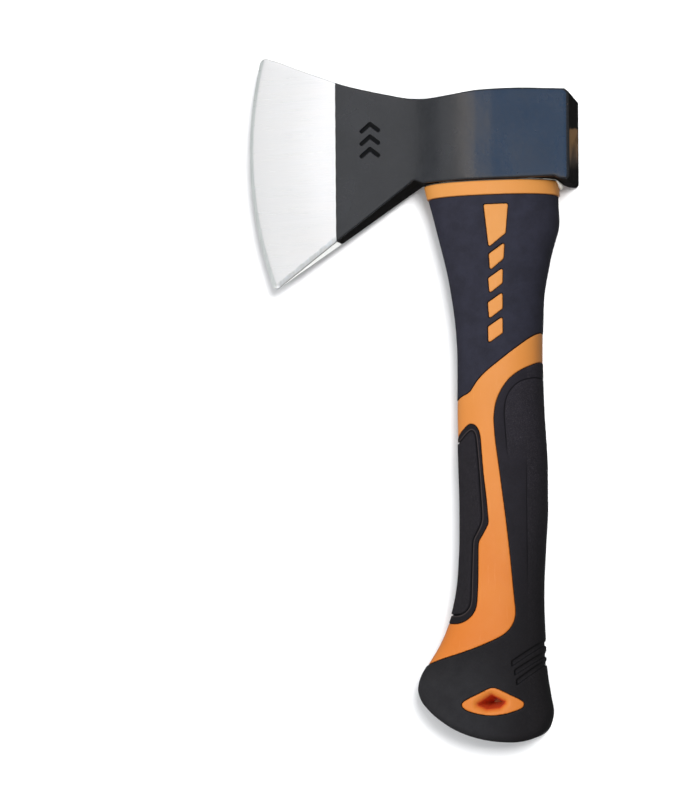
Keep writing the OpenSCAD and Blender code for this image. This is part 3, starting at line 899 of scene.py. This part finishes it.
pts = [outline]
tang = np.roll(outline, -1, axis=0) - np.roll(outline, 1, axis=0)
nrm = np.column_stack([-tang[:, 1], tang[:, 0]])
nrm /= np.linalg.norm(nrm, axis=1)[:, None]
mid = outline + nrm * 0.5
if area_distance(outline, mid[:, 0], mid[:, 1]).mean() > 0:
    nrm = -nrm
for k in range(1, 9):
    frac = 1 - math.cos(k / 8 * math.pi / 2)
    off = np.where(is_edge, [0.3, 0.6, 0.9, 1.2, 1.5, 1.9, 2.3, 2.8][k - 1], np.minimum(fillet_r(outline[:, 0]), 0.75 * thickness(outline[:, 0], outline[:, 1])) * frac)
    ring = outline + nrm * off[:, None]
    keep = -area_distance(outline, ring[:, 0], ring[:, 1]) > off * 0.93
    pts.append(ring[keep])
gx1, gy1 = np.meshgrid(np.arange(-70, 70.5, 0.8), np.arange(44, 145, 0.9), indexing="ij")
gx1 = gx1 + 0.4 * (np.arange(gx1.shape[1])[None] % 2)
g = np.column_stack([gx1.ravel(), gy1.ravel()])
g = g[area_distance(outline, g[:, 0], g[:, 1]) < -1.7]
g = g[np.hypot(g[:, 0] - 95, g[:, 1] - 104) < 161.7]
inm = (np.abs(g[:, 0] + 15.2) < 5.2) & (np.abs(g[:, 1] - 105) < 8.6)
g = g[~inm]
gm = np.stack(np.meshgrid(np.arange(-20.3, -10, 0.2), np.arange(96.5, 113.6, 0.2), indexing="ij"), -1).reshape(-1, 2)
paint_edge = np.array([[PAINT_X - 0.6 * (y - 62) / 70 + 0.03 * math.sin(y * 0.9), y] for y in np.arange(64.0, 130.4, 0.9)])
near = np.abs(g[:, 0] - np.interp(g[:, 1], paint_edge[:, 1], paint_edge[:, 0])) < 0.35
g = g[~near]
gl = []
for x in np.arange(-58.5, -30.9, 0.35):
    for off in (-0.25, 0.0, 0.25, 1.0):
        w = grind_width(x) - off
        # the point w above the lower side, at this x
        gl.append([x, LOW_A[1] + ((x - LOW_A[0]) * LOW_DIR[1] + w) / LOW_DIR[0]])
gl = np.array(gl)
gl = gl[(np.hypot(gl[:, 0] - 95, gl[:, 1] - 104) < 162.5) & (area_distance(outline, gl[:, 0], gl[:, 1]) < -0.5)]
base = np.vstack([outline] + pts[1:] + [g, gm, gl, paint_edge])
n_out = len(outline)
edges = [(i, (i + 1) % n_out) for i in range(n_out)]
n_pe = len(base) - len(paint_edge)
edges += [(n_pe + i, n_pe + i + 1) for i in range(len(paint_edge) - 1)]
cv, ce, cf, ov, oe, of_ = delaunay_2d_cdt([Vector(p) for p in base], edges, [list(range(n_out))], 1, 1e-6)
cv = np.array([(p.x, p.y) for p in cv])
tri = np.array(cf)
src = np.full(len(cv), -1)
for i, o_ in enumerate(ov):
    if o_:
        src[i] = min(o_)
loop = np.full(n_out, -1)
for i, s_ in enumerate(src):
    if 0 <= s_ < n_out:
        loop[s_] = i
delta = line_distance(sides_path, cv[:, 0], cv[:, 1])
on_loop = np.zeros(len(cv), bool)
on_loop[loop[loop >= 0]] = True
hz = head_height(cv[:, 0], cv[:, 1], delta)
assert (loop >= 0).all()
# anticlockwise faces look up
a, b, c = (cv[tri[:, i]] for i in range(3))
sgn = (b[:, 0] - a[:, 0]) * (c[:, 1] - a[:, 1]) - (b[:, 1] - a[:, 1]) * (c[:, 0] - a[:, 0])
tri[sgn < 0] = tri[sgn < 0][:, ::-1]
nv = len(cv)
verts = [np.column_stack([cv, hz]), np.column_stack([cv, -hz])]
faces = [tuple(t) for t in tri] + [tuple(t[::-1] + nv) for t in tri]


def paint_at(y):
    return np.interp(y, paint_edge[:, 1], paint_edge[:, 0])


cen = cv[tri].mean(axis=1)
fm = list((cen[:, 0] < paint_at(cen[:, 1])).astype(int)) * 2
inside = (cv[:, 0] > -21) & (cv[:, 0] < -9) & (cv[:, 1] > 94) & (cv[:, 1] < 116)
mark = np.full(nv, 5.0)
mark[inside] = mark_depth(cv[inside, 0], cv[inside, 1])
bev = np.hypot(cv[:, 0] - 95, cv[:, 1] - 104) - 163.3
low = grind_width(cv[:, 0]) - low_side(cv[:, 0], cv[:, 1])
att = {"s_rim": [delta, delta], "s_mark": [mark, mark], "s_bevel": [bev, bev], "s_low": [low, low]}
count = 2 * nv

# walls round the outline, except where the eye opens
EYE_X, EYE_L, EYE_W = 36.0, 49.0, 19.0
lx, ly = outline[:, 0], outline[:, 1]
orient = 1 if np.sum(lx * np.roll(ly, -1) - ly * np.roll(lx, -1)) > 0 else -1
top_range = (lx > 8.5) & (lx < 65.5) & (ly > 115)
low_range = (lx > 8.5) & (lx < 64.5) & (ly < 90)


def spans(mask):
    """First and last outline index of the run of points where mask holds."""
    idx = np.nonzero(mask & ~np.roll(mask, 1))[0][0]
    n = int(mask.sum())
    return [(idx + k) % n_out for k in range(n)]


tops, lows = spans(top_range), spans(low_range)
skip = {(tops[i], tops[i + 1]) for i in range(len(tops) - 1)} | {(lows[i], lows[i + 1]) for i in range(len(lows) - 1)}
LEVELS = 7
wall = {}


def wall_vertex(i, k):
    """Point k of LEVELS down the wall from the front loop to the back loop."""
    global count
    if k == 0:
        return loop[i]
    if k == LEVELS:
        return loop[i] + nv
    if (i, k) not in wall:
        z = hz[loop[i]] * (1 - 2 * k / LEVELS)
        extra.append([lx[i], ly[i], z])
        wall[i, k] = count
        count += 1
    return wall[i, k]


extra = []
wfaces, wmats = [], []
for i in range(n_out):
    j = (i + 1) % n_out
    if (i, j) in skip:
        continue
    steel = 1 if (lx[i] + lx[j]) / 2 < PAINT_X + 0.2 else 0
    for k in range(LEVELS):
        q = (wall_vertex(i, k), wall_vertex(j, k), wall_vertex(j, k + 1), wall_vertex(i, k + 1))
        wfaces.append(q[::-1] if orient > 0 else q)
        wmats.append(1 if steel else 2)


def slot_loop(grow, n=28):
    r = EYE_W / 2 + grow
    half = (EYE_L - EYE_W) / 2
    p = []
    for s in (1, -1):
        for k in range(n + 1):
            a = -math.pi / 2 + math.pi * k / n
            p.append((EYE_X + s * (half + r * math.cos(a)), s * r * math.sin(a)))
    return resampled(np.array(p), 0.75)


rings_at = {}
for which, run in (("top", tops), ("low", lows)):
    y_at = lambda x, run=run: np.interp(x, [lx[i] for i in (run if lx[run[0]] < lx[run[-1]] else run[::-1])],
                                        [ly[i] for i in (run if lx[run[0]] < lx[run[-1]] else run[::-1])])
    order = run if lx[run[0]] < lx[run[-1]] else run[::-1]
    bound, ids = [], []
    for i in order:
        bound.append((lx[i], hz[loop[i]])); ids.append(loop[i])
    for k in range(1, LEVELS):
        i = order[-1]; v_ = wall_vertex(i, k); bound.append((lx[i], hz[loop[i]] * (1 - 2 * k / LEVELS))); ids.append(v_)
    for i in order[::-1]:
        bound.append((lx[i], -hz[loop[i]])); ids.append(loop[i] + nv)
    for k in range(LEVELS - 1, 0, -1):
        i = order[0]; v_ = wall_vertex(i, k); bound.append((lx[i], hz[loop[i]] * (1 - 2 * k / LEVELS))); ids.append(v_)
    hole0, hole1 = slot_loop(0.7), slot_loop(0.0)
    gx2, gz2 = np.meshgrid(np.arange(9, 65, 1.1), np.arange(-12.5, 12.6, 1.1), indexing="ij")
    gp = np.column_stack([gx2.ravel(), gz2.ravel()])
    ba = np.array(bound)
    gp = gp[(area_distance(ba, gp[:, 0], gp[:, 1]) < -0.5) & (area_distance(hole0, gp[:, 0], gp[:, 1]) > 0.5)]
    allp = np.vstack([ba, hole0, gp])
    nb, nh = len(ba), len(hole0)
    ed = [(k, (k + 1) % nb) for k in range(nb)] + [(nb + k, nb + (k + 1) % nh) for k in range(nh)]
    v2, _, f2, o2, _, _ = delaunay_2d_cdt([Vector(p) for p in allp], ed, [], 0, 1e-6)
    v2 = np.array([(p.x, p.y) for p in v2])
    cen2 = v2[np.array(f2)].mean(axis=1)
    keep = (area_distance(hole0, cen2[:, 0], cen2[:, 1]) > 0) & (area_distance(ba, cen2[:, 0], cen2[:, 1]) < 0)
    ident = {}
    hole_ids = [None] * nh
    for k, o_ in enumerate(o2):
        s_ = min(o_)
        if s_ < nb:
            ident[k] = ids[s_]
        else:
            extra.append([v2[k, 0], float(y_at(v2[k, 0])), v2[k, 1]])
            ident[k] = count
            if s_ < nb + nh:
                hole_ids[s_ - nb] = count
            count += 1
    for t, kk in zip(f2, keep):
        if not kk:
            continue
        t = list(t)
        a, b, c = v2[t[0]], v2[t[1]], v2[t[2]]
        s_ = (b[0] - a[0]) * (c[1] - a[1]) - (b[1] - a[1]) * (c[0] - a[0])
        # in (x, z) an anticlockwise face looks along -Y
        want = -1 if which == "top" else 1
        if s_ * want < 0:
            t = t[::-1]
        wfaces.append(tuple(ident[k] for k in t))
        wmats.append(2)
    ring1 = []
    step = -0.55 if which == "top" else 0.55
    h1 = np.array(hole1)
    # the second ring takes the same number of points, matched by position round the slot
    for k in range(nh):
        p = hole0[k]
        d_ = np.linalg.norm(h1 - p, axis=1)
        q = h1[int(np.argmin(d_))]
        cx_ = np.clip(p[0], EYE_X - (EYE_L - EYE_W) / 2, EYE_X + (EYE_L - EYE_W) / 2)
        vec = np.array([p[0] - cx_, p[1]])
        vec = vec / np.linalg.norm(vec) * EYE_W / 2
        extra.append([cx_ + vec[0], float(y_at(p[0])) + step, vec[1]])
        ring1.append(count)
        count += 1
    for k in range(nh):
        q = (hole_ids[k], hole_ids[(k + 1) % nh], ring1[(k + 1) % nh], ring1[k])
        wfaces.append(q if which == "top" else q[::-1])
        wmats.append(2)
    rings_at[which] = ring1
rt, rl = rings_at["top"], rings_at["low"]
nh = len(rt)
prev = rt
for k in range(1, 9):
    if k < 8:
        cur = []
        for m in range(nh):
            p, q = np.array(extra[rt[m] - 2 * nv]), np.array(extra[rl[m] - 2 * nv])
            extra.append(list(p + (q - p) * k / 8))
            cur.append(count)
            count += 1
    else:
        cur = rl
    for m in range(nh):
        wfaces.append((prev[m], prev[(m + 1) % nh], cur[(m + 1) % nh], cur[m]))
        wmats.append(2)
    prev = cur
ex = np.array(extra)
ex_lip = np.zeros(len(ex))
faces += wfaces
fm += wmats
allv = np.vstack(verts + [ex])
rest = {"s_rim": 3.0, "s_mark": 5.0, "s_bevel": -1.0, "s_low": 1.0}
attrs = {k: np.concatenate(v + [np.full(len(ex), rest[k])]) for k, v in att.items()}
head = make_object("axe_head", allv, [tuple(int(i) for i in f) for f in faces], [M_LACQUER, M_STEEL, M_FORGED], crease=17, face_mats=fm, attrs=attrs)
face_outwards(head, 17)
place(head, "axe_head")
print("PIECE axe_head", len(head.data.vertices), len(head.data.polygons))

# ------------------------------------------------------------------ potting: plug in the eye, film and bead at the collar


def section_ring(x0, x1, t, n=120, power=2.3):
    a = (np.arange(n) + 0.5) * 2 * math.pi / n
    f = lambda v: np.sign(v) * np.abs(v) ** (2 / power)
    return np.column_stack([(x0 + x1) / 2 + (x1 - x0) / 2 * f(np.cos(a)), t * f(np.sin(a))])


def loft_rings(rings, closed_ends=True):
    """Quads between rings of equal length, with the ends filled."""
    n = len(rings[0])
    v = np.vstack(rings)
    f = []
    for i in range(len(rings) - 1):
        for k in range(n):
            f.append((i * n + k, i * n + (k + 1) % n, (i + 1) * n + (k + 1) % n, (i + 1) * n + k))
    if closed_ends:
        f.append(tuple(range(n))[::-1])
        f.append(tuple((len(rings) - 1) * n + k for k in range(n)))
    return v, f


def ring_of(n, shrink, y, amp=0.0, seed=0):
    r = EYE_W / 2 - shrink
    half = (EYE_L - EYE_W) / 2
    per = 4 * half + 2 * math.pi * r
    out = []
    for k in range(n):
        s = per * k / n
        if s < 2 * half:
            p = (EYE_X - half + s, -r)
        elif s < 2 * half + math.pi * r:
            a = -math.pi / 2 + (s - 2 * half) / r
            p = (EYE_X + half + r * math.cos(a), r * math.sin(a))
        elif s < 4 * half + math.pi * r:
            p = (EYE_X + half - (s - 2 * half - math.pi * r), r)
        else:
            a = math.pi / 2 + (s - 4 * half - math.pi * r) / r
            p = (EYE_X - half + r * math.cos(a), r * math.sin(a))
        w = amp * (math.sin(k * 0.19 + seed) + 0.6 * math.sin(k * 0.43 + 2 * seed))
        out.append((p[0], y + w, p[1]))
    return np.array(out)


def drawn_in(ring, t, y, amp=0.0, seed=0):
    """The ring moved the share t of the way in to the rounded outline of the core."""
    p = np.array(ring)
    c = np.column_stack([np.clip(p[:, 0], 16.2, 55.8), np.clip(p[:, 2], 1.2 - CORE_T, CORE_T - 1.2)])
    d = p[:, [0, 2]] - c
    inner = c + d / np.linalg.norm(d, axis=1)[:, None] * 1.2
    k = np.arange(len(p))
    p[:, [0, 2]] += (inner - p[:, [0, 2]]) * t
    p[:, 1] = y + amp * (np.sin(k * 0.19 + seed) + 0.6 * np.sin(k * 0.43 + 2 * seed))
    return p


def loft_closed(rings):
    """Quads between rings of equal length, and from the last ring back to the first."""
    v, f = loft_rings(rings, closed_ends=False)
    n, last = len(rings[0]), (len(rings) - 1) * len(rings[0])
    return v, f + [(last + k, last + (k + 1) % n, (k + 1) % n, k) for k in range(n)]


N = 160
rings = [ring_of(N, 0.06, y) for y in (85.45, 90, 100, 110, 118)]
rings += [ring_of(N, 0.06, 120.6, 0.05, 1), ring_of(N, 0.25, 120.75, 0.05, 1)]
rim = rings[-1]
rings += [drawn_in(rim, 0.15, 120.5, 0.06, 1), drawn_in(rim, 0.42, 120.25, 0.07, 2), drawn_in(rim, 0.76, 120.2, 0.08, 3), drawn_in(rim, 1, 120.5, 0.06, 2)]
rings += [drawn_in(rim, 1, y) for y in (118, 110, 100, 90, 85.45)]
pv, pf = loft_closed(rings)
plug_parts = [(pv, pf)]
# film between collar and head, as wide as the collar less a little
film = []
for y, g_ in ((84.93, 0.5), (85.0, 0.3), (85.2, 0.2), (85.38, 0.3), (85.46, 0.5)):
    s_ = section_ring(7.3 + g_, 63.2 - g_, 11.6 - g_)
    film.append(np.column_stack([s_[:, 0], np.full(len(s_), y), s_[:, 1]]))
film += [drawn_in(film[-1], 1, 85.46), drawn_in(film[0], 1, 84.93)]
plug_parts.append(loft_closed(film))
# bead squeezed out at the poll end of the collar
bead_path = section_ring(6.2, 64.0, 12.6, 600, 2.3)
bp = bead_path[(bead_path[:, 0] > 58.5)]
bp = bp[np.argsort(np.arctan2(bp[:, 1], bp[:, 0] - 40))]
bp = resampled(bp, 0.3, closed=False)
tb = np.gradient(bp, axis=0)
tb /= np.linalg.norm(tb, axis=1)[:, None]
nb_ = np.column_stack([tb[:, 1], -tb[:, 0]])
u_ = np.linspace(-1, 1, len(bp))
rr = []
for k in range(len(bp)):
    full = math.cos(min(1.0, abs(u_[k]) / 0.36) * math.pi / 2)
    r = 0.1 + 0.85 * full * (1 + 0.08 * math.sin(u_[k] * 23) + 0.06 * math.sin(u_[k] * 51 + 1))
    ring = []
    for m in range(16):
        a = 2 * math.pi * m / 16
        off = r * math.cos(a) + 0.75 * r - 0.1
        ring.append([bp[k, 0] + nb_[k, 0] * off, 85.35 - 1.1 * full - 1.25 * r + r * math.sin(a) * 1.3, bp[k, 1] + nb_[k, 1] * off])
    rr.append(np.array(ring))
bv, bf = loft_rings(rr)
plug_parts.append((bv, bf))
allv, allf, darkv, base_i = [], [], [], 0
for part_i, (v_, f_) in enumerate(plug_parts):
    allv.append(v_)
    allf += [tuple(int(i) + base_i for i in f) for f in f_]
    # the film gets the dark tint, painted shade in the gap between collar and head
    darkv.append(np.full(len(v_), 0.85 if part_i == 1 else 0.0))
    base_i += len(v_)
potting = make_object("eye_potting", np.vstack(allv), allf, [M_EPOXY], crease=50, attrs={"dark": np.concatenate(darkv)})
face_outwards(potting, 50)
place(potting, "eye_potting")

# ------------------------------------------------------------------ core


cr = rounded([[x, y, 1.5] for x, y in CORE], steps=3)
bm = bmesh.new()
vs = [bm.verts.new((x * MM, y * MM, (Z0 - CORE_T + 0.02) * MM)) for x, y in cr]
face = bm.faces.new(vs)
ext = bmesh.ops.extrude_face_region(bm, geom=[face])
bmesh.ops.translate(bm, verts=[g_ for g_ in ext["geom"] if isinstance(g_, bmesh.types.BMVert)], vec=(0, 0, 2 * (CORE_T - 0.02) * MM))
bmesh.ops.recalc_face_normals(bm, faces=bm.faces)
rim = [e for e in bm.edges if len(e.link_faces) == 2 and abs(e.link_faces[0].normal.z - e.link_faces[1].normal.z) > 0.5]
bmesh.ops.bevel(bm, geom=rim, offset=1.2 * MM, segments=4, profile=0.5, affect="EDGES", clamp_overlap=True)
me = bpy.data.meshes.new("fibreglass_core")
bm.to_mesh(me)
bm.free()
me.materials.append(M_FIBRE)
me.polygons.foreach_set("use_smooth", np.ones(len(me.polygons), bool))
me.set_sharp_from_angle(angle=math.radians(30))
core = bpy.data.objects.new("fibreglass_core", me)
bpy.context.scene.collection.objects.link(core)
place(core, "fibreglass_core")

# ------------------------------------------------------------------ floor, light and camera

floor_n = Nodes("studio_white")
fm_ = floor_n.mix(floor_n.span(floor_n.noise(3, 2, 0.5), 0.3, 0.7, 0, 1), (0.925, 0.925, 0.93, 1), (0.94, 0.94, 0.945, 1))
M_FLOOR = floor_n.set(color=fm_, rough=0.85, spec=0.1)
# further out the backdrop glows a little, so that it stays pale behind the tool
far = floor_n.t.nodes.new("ShaderNodeVectorMath")
far.operation = "LENGTH"
floor_n.link(floor_n.coord, far.inputs[0])
floor_n.bsdf.inputs["Emission Color"].default_value = (0.97, 0.98, 1, 1)
floor_n.link(floor_n.span(far.outputs["Value"], 1.0, 2.6, 0, 0.62, smooth=True), floor_n.bsdf.inputs["Emission Strength"])
prof = [(0.0, 0.0), (0.6, 0.0), (1.6, 0.0), (2.6, 0.0)]
prof += [(2.6 + 1.2 * math.sin(a), 1.2 - 1.2 * math.cos(a)) for a in np.linspace(0.1, math.pi / 2, 14)]
prof += [(3.8, 1.8), (3.8, 2.4)]
fv, ff, SEG = [[0, 0, 0]], [], 96
for r, z in prof[1:]:
    for k in range(SEG):
        a = 2 * math.pi * k / SEG
        fv.append([r * math.cos(a), r * math.sin(a), z])
for k in range(SEG):
    ff.append((0, 1 + k, 1 + (k + 1) % SEG))
for i in range(len(prof) - 2):
    for k in range(SEG):
        a, b = 1 + i * SEG + k, 1 + i * SEG + (k + 1) % SEG
        ff.append((a, a + SEG, b + SEG, b))
me = bpy.data.meshes.new("studio_floor")
me.from_pydata(fv, [], ff)
me.polygons.foreach_set("use_smooth", np.ones(len(me.polygons), bool))
me.materials.append(M_FLOOR)
floor = bpy.data.objects.new("studio_floor", me)
bpy.context.scene.collection.objects.link(floor)
floor.location = (0, 0, -0.0002)

# the floor takes shadows but throws no light back up, as if it were far below
floor.visible_diffuse = False
floor.visible_glossy = False

world = bpy.data.worlds.new("studio")
bpy.context.scene.world = world
world.use_nodes = True
wt = world.node_tree
bg = next(n for n in wt.nodes if n.type == "BACKGROUND")
bg.inputs["Color"].default_value = (0.97, 0.985, 1.0, 1)
xyz = wt.nodes.new("ShaderNodeSeparateXYZ")
wt.links.new(wt.nodes.new("ShaderNodeTexCoord").outputs["Generated"], xyz.inputs[0])


def world_span(v, a, b, c, d):
    m = wt.nodes.new("ShaderNodeMapRange")
    for k, x in zip(("From Min", "From Max", "To Min", "To Max"), (a, b, c, d)):
        m.inputs[k].default_value = x
    wt.links.new(v, m.inputs["Value"])
    return m.outputs["Result"]


# light from below stands for the bounce off a pale floor; reflections see less of it
mixed = wt.nodes.new("ShaderNodeMix")
wt.links.new(wt.nodes.new("ShaderNodeLightPath").outputs["Is Glossy Ray"], mixed.inputs[0])
wt.links.new(world_span(xyz.outputs[2], -0.3, 0.3, 0.68, 0.4), mixed.inputs[2])
wt.links.new(world_span(xyz.outputs[2], -0.3, 0.3, 0.2, 0.4), mixed.inputs[3])
mul = wt.nodes.new("ShaderNodeMath")
mul.operation = "MULTIPLY"
wt.links.new(mixed.outputs[0], mul.inputs[0])
wt.links.new(world_span(xyz.outputs[0], -0.8, 0.8, 1.15, 0.95), mul.inputs[1])
wt.links.new(mul.outputs[0], bg.inputs["Strength"])


def card(name, target, direction, dist, size, power, color, diffuse=True, glossy=True, roll=0):
    d = bpy.data.lights.new(name, "AREA")
    d.shape, d.size, d.size_y = "RECTANGLE", size[0], size[1]
    d.energy, d.color = power, color
    o = bpy.data.objects.new(name, d)
    bpy.context.scene.collection.objects.link(o)
    w = Vector(direction).normalized()
    o.location = Vector(target) + w * dist
    # the card's long side stays along Y
    side = Vector((0, 1, 0)).cross(w).normalized()
    side = Matrix.Rotation(math.radians(roll), 3, w) @ side
    up = w.cross(side)
    o.rotation_euler = Matrix((side, up, w)).transposed().to_euler()
    o.visible_diffuse, o.visible_glossy = diffuse, glossy
    o.visible_camera = False
    # lamps with a shadow light either the floor or the tool, so that each can be placed for itself
    if diffuse:
        only = bpy.data.collections.new(name + "_link")
        only.objects.link(floor)
        only.collection_objects[0].light_linking.link_state = "INCLUDE" if name.startswith("floor") else "EXCLUDE"
        o.light_linking.receiver_collection = only
    return o


def radiance(size, value):
    return value * math.pi * size[0] * size[1]


# a wide soft box overhead, a smaller lamp to the upper right, and cards that only show as reflections
card("overhead", (0, 0, 0), (-0.26, 0.10, 1.0), 1.7, (1.0, 1.0), 25, (1, 1, 1), glossy=False)
card("key", (0, 0, 0), (0.10, 0.40, 0.9), 1.6, (0.5, 0.5), 5.0, (1, 1, 1), glossy=False)
card("floor_lamp", (0, 0, 0), (0.40, 0.22, 1.0), 1.8, (0.5, 0.5), 32, (1, 1, 1), glossy=False)
card("floor_fill", (0, 0, 0), (0.0, 0.0, 1.0), 2.0, (3.0, 3.0), 24, (0.98, 0.99, 1), glossy=False)
s_ = (0.32, 1.5)
card("sky_card", (0.05, 0.10, 0.02), (-0.10, 0.186, 0.98), 1.2, s_, radiance(s_, 1.0), (0.0, 0.62, 1.7), diffuse=False, roll=14)
s_ = (0.19, 1.5)
card("warm_card", (0.024, 0.10, 0.02), (-0.28, 0.186, 0.94), 1.2, s_, radiance(s_, 1.0), (2.3, 2.05, 1.8), diffuse=False, roll=12)
s_ = (0.34, 2.6)
card("blade_card", (-0.02, 0.10, 0.02), (-0.47, 0.02, 0.87), 1.25, s_, radiance(s_, 0.72), (1.01, 1, 0.985), diffuse=False)
s_ = (0.5, 2.0)
card("side_card", (-0.02, 0.10, 0.02), (-0.82, 0.05, 0.55), 1.25, s_, radiance(s_, 0.6), (1, 1, 1), diffuse=False)
s_ = (0.4, 0.4)
card("lower_card", (-0.045, 0.055, 0.02), (0.06, -0.36, 0.93), 1.25, s_, radiance(s_, 0.86), (1.02, 1, 0.97), diffuse=False)

s_ = (0.3, 0.3)
card("low_card", (-0.045, 0.055, 0.01), (0.05, -0.34, -0.94), 1.2, s_, radiance(s_, 1.7), (1, 1, 1), diffuse=False)

# camera at the photograph's viewing angle
Tm = Vector((-25.6, -3.5, Z0)) * MM
Cm = Vector((224.4, -72.5, Z0 + 920)) * MM
f = (Tm - Cm).normalized()
r = f.cross(Vector((0, 1, 0))).normalized()
u = r.cross(f)
cd = bpy.data.cameras.new("camera")
cd.sensor_fit, cd.sensor_width = "HORIZONTAL", 36.0
cd.lens = 2275.85 / 700 * 36.0
cd.clip_start, cd.clip_end = 0.05, 20
cam = bpy.data.objects.new("camera", cd)
bpy.context.scene.collection.objects.link(cam)
cam.matrix_world = Matrix(((r.x, u.x, -f.x, Cm.x), (r.y, u.y, -f.y, Cm.y), (r.z, u.z, -f.z, Cm.z), (0, 0, 0, 1)))
bpy.context.scene.camera = cam
bpy.context.scene.view_settings.view_transform = "Standard"
bpy.context.scene.view_settings.look = "None"
